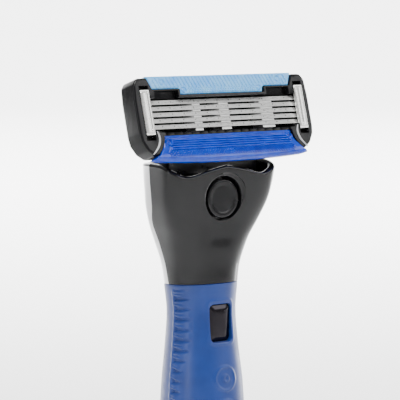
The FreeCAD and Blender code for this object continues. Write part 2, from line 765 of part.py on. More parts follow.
def make_neck():
    """The glossy front cover and the plated rear shell, two halves of one hollow neck."""
    outer = form("NeckOuter", NECK_STATIONS)
    inner = form("NeckInner", NECK_STATIONS, SIZES["neck_wall"])
    seam = seam_block("AboveSeam", True)
    cap = doc.addObject("Part::Box", "NeckTopCut")
    cap.Length = cap.Width = 2 * FAR
    cap.Height = FAR
    cap.Placement = Placement(Vector(-FAR, -FAR, SIZES["neck_top"]), Rotation())
    gap = SIZES["split_gap"] / 2
    blank = cut("RearBlank", outer, front_half("RearSplit", gap))
    rear = cut("RearTrimmed", common("RearAboveSeam", blank, seam), cap)
    keep_as(cut("NeckRearShell", rear, inner), "neck_rear_shell")
    front = common("FrontBlank", outer, front_half("FrontSplit", -gap))
    front = cut("FrontTrimmed", common("FrontAboveSeam", front, seam), cap)
    front = cut("FrontWaved", front, top_wave("TopWave"))
    hole = doc.addObject("Part::Cylinder", "ButtonHole")
    hole.setExpression("Radius", bound("button_hole"))
    hole.Height = FAR
    hole.Placement = Placement(Vector(0, 0, SIZES["button_height"]), Rotation(Vector(1, 0, 0), 90))
    bevel = doc.addObject("Part::Cone", "ButtonBevel")
    bevel.setExpression("Radius1", bound("button_hole"))
    bevel.setExpression("Radius2", bound("button_hole + bevel_depth"))
    bevel.setExpression("Height", bound("bevel_depth"))
    bevel_start = Vector(0, SIZES["hole_bevel"] - SIZES["cover_face"], SIZES["button_height"])
    bevel.Placement = Placement(bevel_start, Rotation(Vector(1, 0, 0), 90))
    front = cut("FrontBevelled", cut("FrontBored", front, hole), bevel)
    keep_as(cut("NeckFrontCover", front, inner), "neck_front_cover")


def make_core():
    """The inner moulding: rod through the grip, plug in the neck, web and cradle for the hub."""
    body = new_body("handle_core")
    rod(body, "Rod", "XY_Plane", ("0", "0"), "rod_radius", "rod_foot", "rod_top")
    rod(body, "Plug", "XY_Plane", ("0", "0"), "plug_radius", "plug_foot", "plug_top")
    web = rectangle("-web_half", "web_half", "web_front", "web_rear")
    prism(body, "Web", "XY_Plane", web, "plug_top - web_root", "cradle_floor + lap")
    floor = rectangle("-cradle_half", "cradle_half", "-cradle_front", "cradle_rear")
    prism(body, "Floor", "XY_Plane", floor, "cradle_floor", "cradle_seat")
    opening = rectangle(
        "-ejector_half - ejector_gap", "ejector_half + ejector_gap",
        "-ejector_front - ejector_gap", "-ejector_rear + ejector_gap",
    )
    prism(body, "EjectorWay", "XY_Plane", opening, "cradle_floor - lap", "cradle_seat", cut=True)
    for side, (low, high) in spans("cheek_inner", "cradle_half").items():
        cheek = rectangle(low, high, "-cradle_front", "cradle_rear")
        prism(body, f"Cheek{side}", "XY_Plane", cheek, "cradle_seat - lap", "cradle_top")
    wall = rectangle("-cradle_half", "cradle_half", "-cradle_front", "-cradle_wall")
    prism(body, "SpringWall", "XY_Plane", wall, "seat_wall_low", "cradle_top")


def make_button():
    """The round push button with its retaining flange, and the wedge that lifts the ejector."""
    body = new_body("release_button")
    centre = ("0", "button_height")
    rod(body, "Disc", "XZ_Plane", centre, "button_radius", "flange_back", "button_face")
    round_edges(body, "DiscEdge", "disc_edge", lambda edge: edge.BoundBox.YMax < -SIZES["button_face"] + 1e-3)
    flange = rectangle("-flange_half", "flange_half", "flange_low", "flange_high")
    prism(body, "Flange", "XZ_Plane", flange, "flange_back", "flange_front")
    tongue = rectangle("-tongue_half", "tongue_half", "tongue_low", "flange_low + lap")
    prism(body, "Tongue", "XZ_Plane", tongue, "flange_back", "flange_front")
    wedge = [
        ("-flange_back - lap", "tongue_low"),
        ("-wedge_tip", "tongue_low"),
        ("-wedge_tip", "ramp_sum - ramp_gap + wedge_tip"),
        ("-flange_back - lap", "ramp_sum - ramp_gap + flange_back + lap"),
    ]
    prism(body, "Wedge", "YZ_Plane", wedge, "-tongue_half", "tongue_half")
    rod(body, "SpringCup", "XZ_Plane", centre, "cup_radius", "flange_back", "cup_floor", cut=True)


def make_ejector():
    """The slider that the button's wedge lifts against the foot of the hub."""
    body = new_body("ejector")
    side_view = [
        ("-ejector_front", "ejector_top"),
        ("-ejector_front", "ramp_sum + ejector_front"),
        ("-ejector_leg", "ramp_sum + ejector_leg"),
        ("-ejector_leg", "ejector_shelf"),
        ("-ejector_rear", "ejector_shelf"),
        ("-ejector_rear", "ejector_top"),
    ]
    prism(body, "Slider", "YZ_Plane", side_view, "-ejector_half", "ejector_half")


def make_grip():
    """The rubber sleeve over the rod, with a window for the inlay."""
    grip = form("GripOuter", GRIP_STATIONS)
    bore = doc.addObject("Part::Cylinder", "GripBore")
    bore.setExpression("Radius", bound("sleeve_bore"))
    bore.Height = 4 * FAR
    below = common("GripBelowSeam", grip, seam_block("BelowSeam", False))
    tube = cut("GripTube", below, bore)
    window = doc.addObject("Part::Box", "InlayWindow")
    window.setExpression("Length", "2 * Sizes.window_half")
    window.setExpression("Height", "Sizes.window_high - Sizes.window_low")
    window.Width = FAR
    window.Placement = Placement(Vector(-SIZES["window_half"], -FAR, SIZES["window_low"]), Rotation())
    soft_window = doc.addObject("Part::Fillet", "InlayWindowRounded")
    soft_window.Base = window
    doc.recompute()
    corners = [
        (index, SIZES["inlay_corner"], SIZES["inlay_corner"])
        for index, edge in enumerate(window.Shape.Edges, 1)
        if abs(edge.BoundBox.YLength - FAR) < 1e-3
    ]
    soft_window.Edges = corners
    keep_as(cut("GripSleeve", tube, soft_window), "grip_sleeve")


def make_inlay():
    """The plated pill in the window of the grip."""
    body = new_body("grip_inlay")
    outline = rectangle(
        "-window_half + inlay_gap", "window_half - inlay_gap",
        "window_low + inlay_gap", "window_high - inlay_gap",
    )
    prism(body, "Pill", "XZ_Plane", outline, "inlay_back", "inlay_front")
    depth = SIZES["inlay_front"] - SIZES["inlay_back"]
    round_edges(body, "PillCorners", "inlay_corner - inlay_gap", lambda edge: abs(edge.Length - depth) < 1e-4)
    round_edges(body, "PillFace", "pill_edge", lambda edge: edge.BoundBox.YMax < -SIZES["inlay_front"] + 1e-3)


def make_butt_cap():
    """The turned end cap that the razor can stand on."""
    body = new_body("butt_cap")
    sketch = new_sketch(body, "Profile", "XZ_Plane", "0")
    draw_outline(sketch, [
        ("0", "0"),
        ("butt_flat", "0"),
        ("butt_radius - butt_foot_inset", "butt_foot_rise"),
        ("butt_radius - butt_hip_inset", "butt_hip_rise"),
        ("butt_radius", "butt_top"),
        ("sleeve_bore", "butt_top"),
        ("sleeve_bore", "rod_foot - contact_gap"),
        ("0", "rod_foot - contact_gap"),
    ])
    turned = body.newObject("PartDesign::Revolution", "ButtTurned")
    turned.Profile = sketch
    turned.ReferenceAxis = (sketch, ["V_Axis"])
    turned.Angle = 360.0
    doc.recompute()


# ---------------------------------------------------------------- assembly

make_frame()
make_strip()
make_guard()
for number in range(BLADE_COUNT):
    make_blade(number)
for label, (low, high) in SPACER_SPANS.items():
    make_spacer(label, str(low), str(high))
clip_spans = spans("clip_inner", "clip_inner + clip_width").values()
for label, (low, high) in zip(("clip_right", "clip_left"), clip_spans):
    make_clip(label, low, high)
make_hub()
make_plunger()
return_start = SIZES["return_seat"] + SIZES["return_wire"] + SIZES["hair_gap"]
make_spring(
    "return_spring", "return_coil", "return_wire", "return_length", "return_turns",
    Placement(Vector(0, SIZES["plunger_y"], return_start), Rotation()),
)
make_neck()
make_core()
make_button()
make_spring(
    "button_spring", "button_coil", "button_wire", "button_length", "button_turns",
    Placement(
        Vector(0, -SIZES["cradle_front"] - SIZES["button_wire"] - SIZES["hair_gap"], SIZES["button_height"]),
        Rotation(Vector(1, 0, 0), 90),
    ),
)
make_ejector()
make_grip()
make_inlay()
make_butt_cap()
doc.recompute()

for item in doc.Objects:
    if "Invalid" in item.State or "Error" in item.State:
        raise RuntimeError(f"{item.Name} failed: {item.State}")
for piece in PARTS:
    if piece.Shape.isNull() or not piece.Shape.isValid() or not piece.Shape.Solids:
        raise RuntimeError(f"{piece.Label} has no valid solid")

os.makedirs("parts", exist_ok=True)
for piece in PARTS:
    piece.Shape.exportStep(f"parts/{piece.Label}.step")
    print(f"{piece.Label}: {piece.Shape.Volume:.2f} mm3, {len(piece.Shape.Solids)} solid")
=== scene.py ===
"""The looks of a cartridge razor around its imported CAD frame. Sizes are in millimetres until a mesh is made.

+Z runs up the handle, and the blades face -Y. The head is drawn in its face frame: u across, v up the face,
w out of it.
"""

import math

import bmesh
import bpy
import numpy as np
from mathutils import Matrix, Vector


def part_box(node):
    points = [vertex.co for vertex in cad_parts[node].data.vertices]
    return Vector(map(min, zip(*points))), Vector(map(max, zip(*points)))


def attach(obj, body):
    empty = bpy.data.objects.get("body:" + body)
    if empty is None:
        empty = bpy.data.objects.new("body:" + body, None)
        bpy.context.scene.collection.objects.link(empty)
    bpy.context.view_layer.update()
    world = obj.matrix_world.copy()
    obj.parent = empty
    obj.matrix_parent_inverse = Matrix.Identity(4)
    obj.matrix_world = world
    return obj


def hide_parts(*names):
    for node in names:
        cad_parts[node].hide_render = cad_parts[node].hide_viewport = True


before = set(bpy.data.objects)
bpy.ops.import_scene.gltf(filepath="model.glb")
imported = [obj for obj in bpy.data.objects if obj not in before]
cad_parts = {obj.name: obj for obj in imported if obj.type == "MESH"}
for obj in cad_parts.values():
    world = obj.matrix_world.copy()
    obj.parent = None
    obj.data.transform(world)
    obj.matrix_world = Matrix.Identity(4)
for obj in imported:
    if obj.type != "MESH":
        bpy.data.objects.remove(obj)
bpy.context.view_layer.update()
MM = 0.001

# ---------------------------------------------------------------- sizes shared with the frame

FACE_TILT = math.radians(16)
FACE_CENTRE = Vector((0, -8.0, 137.0))
FACE = Matrix((
    (1, 0, 0, FACE_CENTRE.x),
    (0, math.sin(FACE_TILT), -math.cos(FACE_TILT), FACE_CENTRE.y),
    (0, math.cos(FACE_TILT), math.sin(FACE_TILT), FACE_CENTRE.z),
    (0, 0, 0, 1),
))
# Outer form of the handle: height, half width, half depth, centre in Y, squareness (2 is an ellipse).
NECK = [
    (99.0, 6.80, 6.90, -0.15, 2.2), (102.7, 7.16, 7.20, -0.10, 2.2), (106.5, 7.60, 7.27, 0.03, 2.4),
    (110.1, 8.70, 7.25, -0.05, 2.8), (112.3, 9.60, 7.00, -0.25, 3.2), (115.2, 11.04, 6.36, -1.00, 4.0),
    (118.9, 12.50, 5.85, -2.05, 5.0), (121.5, 13.00, 5.75, -2.60, 5.6), (125.0, 13.35, 5.95, -2.95, 6.0),
    (129.0, 13.55, 6.15, -3.20, 6.0),
]
GRIP = [
    (6.05, 5.85, 5.85, 0.00, 2.1), (18.0, 6.10, 6.30, 0.25, 2.1), (36.0, 6.90, 7.15, 0.45, 2.1),
    (55.0, 7.85, 8.10, 0.05, 2.1), (72.0, 8.30, 8.60, -0.50, 2.2), (82.6, 7.90, 8.10, -0.55, 2.2),
    (90.0, 7.15, 7.35, -0.35, 2.2), (97.0, 6.70, 6.80, -0.20, 2.2), (102.7, 7.16, 7.20, -0.10, 2.2),
    (106.0, 7.40, 7.40, -0.05, 2.2),
]
SPLIT = [(100.0, 0.4), (105.0, 1.4), (110.0, 1.6), (115.0, 1.1), (119.0, -0.9), (124.0, -1.3), (130.0, -1.3)]
WAVE = [(0.0, 127.25), (5.0, 126.2), (9.6, 125.15), (13.5, 126.3), (17.0, 127.9)]
WAVE_RISE = math.tan(math.radians(20))
WAVE_FRONT = -8.0
NECK_TOP = 127.2
NECK_WALL = 1.1
SEAM_HEIGHT = 102.7
SEAM_SLOPE = math.tan(math.radians(4))
SLEEVE_BORE = 4.65
SLEEVE_FOOT = 6.05
BUTTON_HEIGHT = 120.0
BUTTON_HOLE = 4.4
COVER_FACE = 8.08
WINDOW_MIDDLE = 95.15
RIB_PITCH = 2.05
RING_PITCH = 6.6
RING_TOP = 84.2
RING_END = 44.0
BLADE_COUNT = 5
BLADE_FIRST = 2.05
BLADE_PITCH = 1.2
BLADE_WIDTH = 0.88
BLADE_SINK = 0.31
STRIP_HALF = 17.8
STRIP_CORNER = 16.8
STRIP_TOP = 7.6
STRIP_SHOULDER = 5.0
LOBE_HALF = 10.25
LOBE_FOOT_HALF = 10.05
LOBE_LOW = 3.85
CLIP_HIGH = 4.85
CLIP_LOW = 3.9
# Right side of the guard on the face, from its upper to its lower corner, and then its bowed lower lip.
GUARD_SIDE = [(15.6, -4.15), (15.75, -5.2), (16.4, -6.5), (17.4, -7.65), (19.0, -8.75)]
GUARD_LIP = [
    (-19.0, -8.75), (-17.5, -9.05), (-12.3, -9.35), (-6.0, -9.55), (0.0, -9.6),
    (6.0, -9.55), (12.3, -9.35), (17.5, -9.05), (19.0, -8.75),
]
# How far the guard rims reach from the middle, at heights on the face. The rims are painted highlights: light
# beads laid where the housing's edge beside the guard catches the light.
RIM_HEIGHTS = (-7.7, -7.2, -6.65, -6.2, -5.7, -5.2, -4.74, -4.2, -3.7, -3.2)
RIM_REACH = (18.95, 18.35, 17.8, 17.45, 17.18, 17.0, 16.93, 16.95, 17.08, 17.3)


# ---------------------------------------------------------------- smooth outlines

def smooth_through(table, places):
    """Values of a smooth cubic through the rows of a table, whose first column is the place."""
    rows = np.array(table, float)
    keys = rows[:, 0]
    slopes = np.zeros_like(rows)
    for index in range(len(rows)):
        low, high = rows[max(index - 1, 0)], rows[min(index + 1, len(rows) - 1)]
        slopes[index] = (high - low) / (high[0] - low[0])
    places = np.clip(np.asarray(places, float), keys[0], keys[-1])
    at = np.clip(np.searchsorted(keys, places, side="right") - 1, 0, len(keys) - 2)
    gap = (keys[at + 1] - keys[at])
    t = ((places - keys[at]) / gap)[..., None]
    a, b = rows[at], rows[at + 1]
    m, n = slopes[at] * gap[..., None], slopes[at + 1] * gap[..., None]
    value = a + (b - a) * t * t * (3 - 2 * t) + m * t * (1 - t) ** 2 + n * t * t * (t - 1)
    return value[..., 1:]


def outline(station, turns, inset=0.0):
    """Points of the handle's outline at one height, at the given polar angles."""
    half_width, half_depth, centre_y, power = station
    across, along = np.cos(turns), np.sin(turns)
    wide, deep = half_width - inset, half_depth - inset
    reach = ((np.abs(across) / wide) ** power + (np.abs(along) / deep) ** power) ** (-1 / power)
    return np.stack([reach * across, centre_y + reach * along], axis=-1)


def even_spread(points, count):
    """The same polyline with its points spread evenly along it."""
    steps = np.concatenate([[0], np.cumsum(np.linalg.norm(np.diff(points, axis=0), axis=1))])
    wanted = np.linspace(0, steps[-1], count)
    return np.stack([np.interp(wanted, steps, points[:, axis]) for axis in range(2)], axis=-1)


def smooth_step(low, high, value):
    """0 below low, 1 above high, eased between."""
    t = np.clip((value - low) / (high - low), 0, 1)
    return t * t * (3 - 2 * t)


# ---------------------------------------------------------------- mesh makers

def add_object(name, vertices, faces, body, node=None, smooth=40):
    """Makes a piece from points in millimetres and settles its body and shading."""
    mesh = bpy.data.meshes.new(name)
    mesh.from_pydata([Vector(v) * MM for v in vertices], [], faces)
    mesh.validate()
    made = bmesh.new()
    made.from_mesh(mesh)
    bmesh.ops.remove_doubles(made, verts=made.verts, dist=1e-7)
    bmesh.ops.recalc_face_normals(made, faces=made.faces)
    made.to_mesh(mesh)
    made.free()
    piece = bpy.data.objects.new(name, mesh)
    bpy.context.collection.objects.link(piece)
    shade(piece, smooth)
    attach(piece, body)
    if node:
        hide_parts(node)
    return piece


def shade(piece, angle):
    """Smooth shading that keeps edges sharper than the angle."""
    for polygon in piece.data.polygons:
        polygon.use_smooth = True
    piece.data.set_sharp_from_angle(angle=math.radians(angle))


def grid_faces(rows, columns, start=0, close_rows=False, close_columns=False):
    """Quads over a grid of points stored row by row."""
    faces = []
    for row in range(rows if close_rows else rows - 1):
        following = (row + 1) % rows
        for column in range(columns if close_columns else columns - 1):
            beside = (column + 1) % columns
            faces.append((
                start + row * columns + column, start + row * columns + beside,
                start + following * columns + beside, start + following * columns + column,
            ))
    return faces


def lathe(name, profile, centre, axis, body, node=None, segments=96, smooth=35):
    """A turned piece: profile points are (radius, height along the axis)."""
    turn = Vector((0, 0, 1)).rotation_difference(axis).to_matrix()
    vertices = []
    for radius, height in profile:
        for step in range(segments):
            angle = 2 * math.pi * step / segments
            local = Vector((radius * math.cos(angle), radius * math.sin(angle), height))
            vertices.append(centre + turn @ local)
    faces = grid_faces(len(profile), segments, close_columns=True)
    for row in (0, len(profile) - 1):
        if profile[row][0] > 1e-6:
            faces.append(tuple(range(row * segments, (row + 1) * segments)))
    return add_object(name, vertices, faces, body, node, smooth)


def relief(name, rows, floor, height, body, node=None, smooth=50):
    """A plate in the face frame, with its top at a height. A row is (first column, u values, v values)."""
    vertices, index = [], {}
    for row, (first, across, along) in enumerate(rows):
        tops = height(np.asarray(across), np.asarray(along))
        for column, (u, v, w) in enumerate(zip(across, along, tops)):
            index[row, first + column] = len(vertices)
            vertices.append((u, v, w))
    faces = []
    for row, column in index:
        corners = [(row, column), (row, column + 1), (row + 1, column + 1), (row + 1, column)]
        if all(corner in index for corner in corners):
            faces.append(tuple(index[corner] for corner in corners))
    made = bmesh.new()
    points = [made.verts.new(v) for v in vertices]
    for face in faces:
        made.faces.new([points[corner] for corner in face])
    rim = [edge for edge in made.edges if edge.is_boundary]
    grown = bmesh.ops.extrude_edge_only(made, edges=rim)["geom"]
    lower = [item for item in grown if isinstance(item, bmesh.types.BMVert)]
    for vertex in lower:
        vertex.co.z = floor
    under = [e for e in made.edges if e.is_boundary and all(abs(v.co.z - floor) < 1e-6 for v in e.verts)]
    bmesh.ops.contextual_create(made, geom=under)
    bmesh.ops.recalc_face_normals(made, faces=made.faces)
    made.transform(Matrix.Scale(MM, 4) @ FACE)
    mesh = bpy.data.meshes.new(name)
    made.to_mesh(mesh)
    made.free()
    piece = bpy.data.objects.new(name, mesh)
    bpy.context.collection.objects.link(piece)
    shade(piece, smooth)
    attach(piece, body)
    if node:
        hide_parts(node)
    return piece


def softened(name, node, body, width, segments=2):
    """A copy of a CAD node with its edges rounded, as moulding leaves them."""
    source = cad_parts[node]
    made = bmesh.new()
    made.from_mesh(source.data)
    bmesh.ops.remove_doubles(made, verts=made.verts, dist=2e-6)
    bmesh.ops.dissolve_limit(
        made, angle_limit=math.radians(1.0), use_dissolve_boundaries=False,
        verts=made.verts, edges=made.edges,
    )
    mesh = bpy.data.meshes.new(name)
    made.to_mesh(mesh)
    made.free()
    piece = bpy.data.objects.new(name, mesh)
    bpy.context.collection.objects.link(piece)
    bevel = piece.modifiers.new("rounding", "BEVEL")
    bevel.width = width * MM
    bevel.segments = segments
    bevel.limit_method = "ANGLE"
    bevel.angle_limit = math.radians(38)
    bevel.harden_normals = False
    settle(piece)
    shade(piece, 42)
    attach(piece, body)
    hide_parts(node)
    return piece


def settle(piece):
    """Applies every modifier of a piece to its mesh."""
    graph = bpy.context.evaluated_depsgraph_get()
    mesh = bpy.data.meshes.new_from_object(piece.evaluated_get(graph))
    piece.modifiers.clear()
    piece.data = mesh


def drill(piece, tool):
    """Cuts a tool out of a piece and throws the tool away."""
    cut = piece.modifiers.new("cut", "BOOLEAN")
    cut.operation = "DIFFERENCE"
    cut.solver = "EXACT"
    cut.object = tool
    settle(piece)
    bpy.data.objects.remove(tool)


def tool_object(name, vertices, faces):
    """A closed cutting tool, in millimetres."""
    mesh = bpy.data.meshes.new(name)
    mesh.from_pydata([Vector(v) * MM for v in vertices], [], faces)
    made = bmesh.new()
    made.from_mesh(mesh)
    bmesh.ops.recalc_face_normals(made, faces=made.faces)
    made.to_mesh(mesh)
    made.free()
    tool = bpy.data.objects.new(name, mesh)
    bpy.context.collection.objects.link(tool)
    return tool


# ---------------------------------------------------------------- materials

def shader(name, color, roughness, **sockets):
    """A Principled material. Sockets are given by their names with underscores for spaces."""
    material = bpy.data.materials.new(name)
    material.use_nodes = True
    tree = material.node_tree
    principled = tree.nodes["Principled BSDF"]
    principled.inputs["Base Color"].default_value = (*color, 1)
    principled.inputs["Roughness"].default_value = roughness
    for socket, value in sockets.items():
        principled.inputs[socket.replace("_", " ")].default_value = value
    return material, tree, principled


def noise(tree, scale, detail=3.0, stretch=(1, 1, 1)):
    """Noise fixed to the object. The scale is in waves per millimetre, times the stretch on each axis."""
    coordinates = tree.nodes.new("ShaderNodeTexCoord")
    mapping = tree.nodes.new("ShaderNodeMapping")
    mapping.inputs["Scale"].default_value = [scale / MM * part for part in stretch]
    texture = tree.nodes.new("ShaderNodeTexNoise")
    texture.inputs["Scale"].default_value = 1.0
    texture.inputs["Detail"].default_value = detail
    tree.links.new(coordinates.outputs["Object"], mapping.inputs["Vector"])
    tree.links.new(mapping.outputs["Vector"], texture.inputs["Vector"])
    return texture.outputs["Fac"]


def spread(tree, source, low, high):
    """Maps noise, which stays near the middle, onto a span of values."""
    span = tree.nodes.new("ShaderNodeMapRange")
    span.inputs["From Min"].default_value = 0.3
    span.inputs["From Max"].default_value = 0.7
    span.inputs["To Min"].default_value = low
    span.inputs["To Max"].default_value = high
    tree.links.new(source, span.inputs["Value"])
    return span.outputs["Result"]


def tint(tree, principled, source, dark, light):
    """Colours a surface between two shades."""
    mix = tree.nodes.new("ShaderNodeMix")
    mix.data_type = "RGBA"
    mix.inputs[6].default_value = (*dark, 1)
    mix.inputs[7].default_value = (*light, 1)
    tree.links.new(source, mix.inputs[0])
    tree.links.new(mix.outputs[2], principled.inputs["Base Color"])


def grain(tree, principled, source, strength, depth):
    """Raises fine grain from a source, with its depth in millimetres."""
    bump = tree.nodes.new("ShaderNodeBump")
    bump.inputs["Strength"].default_value = strength
    bump.inputs["Distance"].default_value = depth * MM
    tree.links.new(source, bump.inputs["Height"])
    tree.links.new(bump.outputs["Normal"], principled.inputs["Normal"])


def gloss_plastic(name, color, roughness=0.07, level=0.4):
    """Polished black moulding: a faint waviness and fine wipe marks."""
    material, tree, principled = shader(name, color, roughness, Specular_IOR_Level=level)
    wipe = noise(tree, 0.9, 4, (1, 1, 0.12))
    tree.links.new(spread(tree, wipe, roughness * 0.7, roughness * 1.6), principled.inputs["Roughness"])
    grain(tree, principled, noise(tree, 0.35, 1), 0.12, 0.02)
    return material


def satin_plastic(name, color, roughness=0.32):
    """Unpolished moulding with an even spark-eroded grain."""
    material, tree, principled = shader(name, color, roughness)
    dulled = spread(tree, noise(tree, 0.8), roughness * 0.8, roughness * 1.2)
    tree.links.new(dulled, principled.inputs["Roughness"])
    grain(tree, principled, noise(tree, 7.0, 2), 0.25, 0.012)
    return material


def rubber(name, dark, light, roughness):
    """Satin elastomer: soft mottling, a powdery sheen and a very fine grain."""
    material, tree, principled = shader(name, light, roughness, Sheen_Weight=0.12, Sheen_Roughness=0.4)
    tint(tree, principled, spread(tree, noise(tree, 0.22, 4), 0, 1), dark, light)
    worn = spread(tree, noise(tree, 0.6, 4), roughness * 0.85, roughness * 1.15)
    tree.links.new(worn, principled.inputs["Roughness"])
    grain(tree, principled, noise(tree, 5.5, 3), 0.22, 0.015)
    return material


def clear_polymer(name, dark, light, roughness, depth_color, coat):
    """Translucent moulding with cloudy depth."""
    material, tree, principled = shader(
        name, light, roughness, Subsurface_Weight=0.35, Subsurface_Scale=0.9 * MM,
        Coat_Weight=coat, Coat_Roughness=0.05,
    )
    principled.inputs["Subsurface Radius"].default_value = depth_color
    tint(tree, principled, spread(tree, noise(tree, 0.5, 3), 0, 1), dark, light)
    grain(tree, principled, noise(tree, 2.2, 2), 0.12, 0.02)
    return material


def brushed_metal(name, dark, light, roughness, stretch, strength=0.2, metallic=1.0):
    """Ground metal: grinding lines along one axis, in its shade, its gloss and its surface."""
    material, tree, principled = shader(name, light, roughness, Metallic=metallic)
    lines = noise(tree, 9.0, 4, stretch)
    tint(tree, principled, spread(tree, lines, 0, 1), dark, light)
    tree.links.new(spread(tree, lines, roughness * 0.8, roughness * 1.25), principled.inputs["Roughness"])
    grain(tree, principled, lines, strength, 0.006)
    return material


def plated(name, color, roughness):
    """Polished plating, with the slight waviness of the moulding under it."""
    material, tree, principled = shader(name, color, roughness, Metallic=1.0)
    hazed = spread(tree, noise(tree, 0.7, 3), roughness * 0.6, roughness * 1.5)
    tree.links.new(hazed, principled.inputs["Roughness"])
    grain(tree, principled, noise(tree, 0.25, 1), 0.12, 0.03)
    return material


LOOKS = {
    "cover_gloss": gloss_plastic("cover_gloss", (0.008, 0.008, 0.009), 0.05),
    "frame_plastic": gloss_plastic("frame_plastic", (0.006, 0.006, 0.007), 0.17, 0.22),
    "button_plastic": gloss_plastic("button_plastic", (0.007, 0.007, 0.008), 0.14),
    "butt_plastic": gloss_plastic("butt_plastic", (0.008, 0.008, 0.009), 0.06),
    "hub_plastic": satin_plastic("hub_plastic", (0.010, 0.010, 0.011)),
    "core_plastic": satin_plastic("core_plastic", (0.012, 0.012, 0.013), 0.45),
    "grip_rubber": rubber("grip_rubber", (0.006, 0.034, 0.20), (0.009, 0.044, 0.25), 0.36),
    "guard_rubber": clear_polymer(
        "guard_rubber", (0.0003, 0.030, 0.42), (0.0006, 0.055, 0.60), 0.14, (0.1, 0.3, 1.0), 0.1
    ),
    "strip_polymer": clear_polymer(
        "strip_polymer", (0.08, 0.40, 0.92), (0.18, 0.56, 0.98), 0.18, (0.4, 0.7, 1.0), 0.2
    ),
    "blade_steel": brushed_metal(
        "blade_steel", (0.74, 0.74, 0.73), (0.93, 0.93, 0.91), 0.30, (0.08, 1, 1), metallic=0.7
    ),
    # The supports' steel is painted much darker than the blades', as painted shade for the dark gaps between
    # the blades.
    "support_steel": brushed_metal(
        "support_steel", (0.30, 0.30, 0.30), (0.42, 0.42, 0.41), 0.36, (0.1, 1, 1)
    ),
    "spacer_steel": brushed_metal(
        "spacer_steel", (0.80, 0.80, 0.79), (0.95, 0.95, 0.93), 0.38, (1, 0.3, 0.3), metallic=0.7
    ),
    "clip_metal": brushed_metal(
        "clip_metal", (0.76, 0.76, 0.74), (0.92, 0.92, 0.89), 0.27, (1, 0.1, 0.1), metallic=0.8
    ),
    "spring_steel": brushed_metal(
        "spring_steel", (0.45, 0.45, 0.46), (0.62, 0.62, 0.63), 0.28, (1, 1, 1)
    ),
    "shell_chrome": plated("shell_chrome", (0.58, 0.58, 0.59), 0.10),
    "inlay_chrome": plated("inlay_chrome", (0.035, 0.032, 0.037), 0.12),
}


def dress(piece, look):
    """Gives a piece its material."""
    piece.data.materials.clear()
    piece.data.materials.append(LOOKS[look])
    return piece


# ---------------------------------------------------------------- camera, floor and light

VIEW_TURN = math.radians(36.5)
VIEW_AWAY = Vector((math.sin(VIEW_TURN), math.cos(VIEW_TURN), 0))
VIEW_RIGHT = Vector((math.cos(VIEW_TURN), -math.sin(VIEW_TURN), 0))


def make_camera():
    """A long lens on the razor's left front, a little above it."""
    fall = math.radians(5.65)
    forward = Vector((
        math.sin(VIEW_TURN) * math.cos(fall), math.cos(VIEW_TURN) * math.cos(fall), -math.sin(fall)
    ))
    right = VIEW_RIGHT
    up = right.cross(forward)
    distance, aim_left, aim_down = 409.0, 4.83, 17.16
    place = FACE_CENTRE - distance * forward - aim_left * right - aim_down * up
    data = bpy.data.cameras.new("camera")
    data.sensor_width = 36.0
    data.lens = 187.7
    data.clip_start, data.clip_end = 0.01, 100
    camera = bpy.data.objects.new("camera", data)
    camera.location = place * MM
    camera.rotation_mode = "QUATERNION"
    camera.rotation_quaternion = forward.to_track_quat("-Z", "Y")
    bpy.context.collection.objects.link(camera)
    bpy.context.scene.camera = camera


def make_floor():
    """A plain pale floor that sweeps up behind the razor, seen from the camera."""
    flat, bend, wall, half_width = 2.6, 1.2, 5.0, 7.0
    line = [(-6.0, 0.0), (-1.0, 0.0), (0.0, 0.0), (1.0, 0.0)]
    line += [
        (flat + bend * math.sin(turn), bend - bend * math.cos(turn))
        for turn in np.linspace(0, math.pi / 2, 24)
    ]
    line.append((flat + bend, wall))
    sides = np.linspace(-half_width, half_width, 15)
    vertices = [
        VIEW_AWAY * reach + VIEW_RIGHT * side + Vector((0, 0, height))
        for reach, height in line for side in sides
    ]
    mesh = bpy.data.meshes.new("floor")
    mesh.from_pydata(vertices, [], grid_faces(len(line), len(sides)))
    floor = bpy.data.objects.new("floor", mesh)
    bpy.context.collection.objects.link(floor)
    shade(floor, 60)
    material, tree, principled = shader("floor_paint", (0.93, 0.93, 0.93), 0.9)
    principled.inputs["Specular IOR Level"].default_value = 0.1
    tint(tree, principled, spread(tree, noise(tree, 0.002, 2), 0, 1), (0.92, 0.92, 0.92), (0.95, 0.95, 0.95))
    mesh.materials.append(material)


def make_panel(name, place, target, width, height, power):
    """A soft area light that the camera doesn't see."""
    data = bpy.data.lights.new(name, "AREA")
    data.shape = "RECTANGLE"
    data.size, data.size_y = width, height
    data.energy = power
    panel = bpy.data.objects.new(name, data)
    panel.location = place
    panel.rotation_mode = "QUATERNION"
    panel.rotation_quaternion = (Vector(target) - Vector(place)).to_track_quat("-Z", "Y")
    panel.visible_camera = False
    bpy.context.collection.objects.link(panel)


def make_light():
    """An even surround, soft lights round the razor, and a light for the sweep behind it."""
    world = bpy.data.worlds.new("surround")
    world.use_nodes = True
    world.node_tree.nodes["Background"].inputs["Color"].default_value = (1, 1, 1, 1)
    world.node_tree.nodes["Background"].inputs["Strength"].default_value = 0.5
    bpy.context.scene.world = world
    head = FACE_CENTRE * MM
    make_panel("top_light", head + Vector((-0.10, -0.12, 0.42)), head, 0.22, 0.22, 2.6)
    make_panel("front_light", head + Vector((0.62, -0.74, 0.36)), head, 0.75, 0.42, 3.2)
    make_panel("left_light", head + Vector((-0.50, -0.05, 0.10)), head, 0.10, 0.45, 0.7)
    make_panel("right_light", head + Vector((0.45, 0.05, 0.02)), head, 0.10, 0.45, 0.7)
    sweep = VIEW_AWAY * 0.9 + Vector((0, 0, 1.6))
    make_panel("sweep_light", sweep, VIEW_AWAY * 3.0 + Vector((0, 0, 0.4)), 4.5, 1.3, 520.0)


# ---------------------------------------------------------------- neck

def wave_height(x):
    """Height of the cover's wavy top edge, seen from the front."""
    return smooth_through(WAVE, np.abs(x))[..., 0]


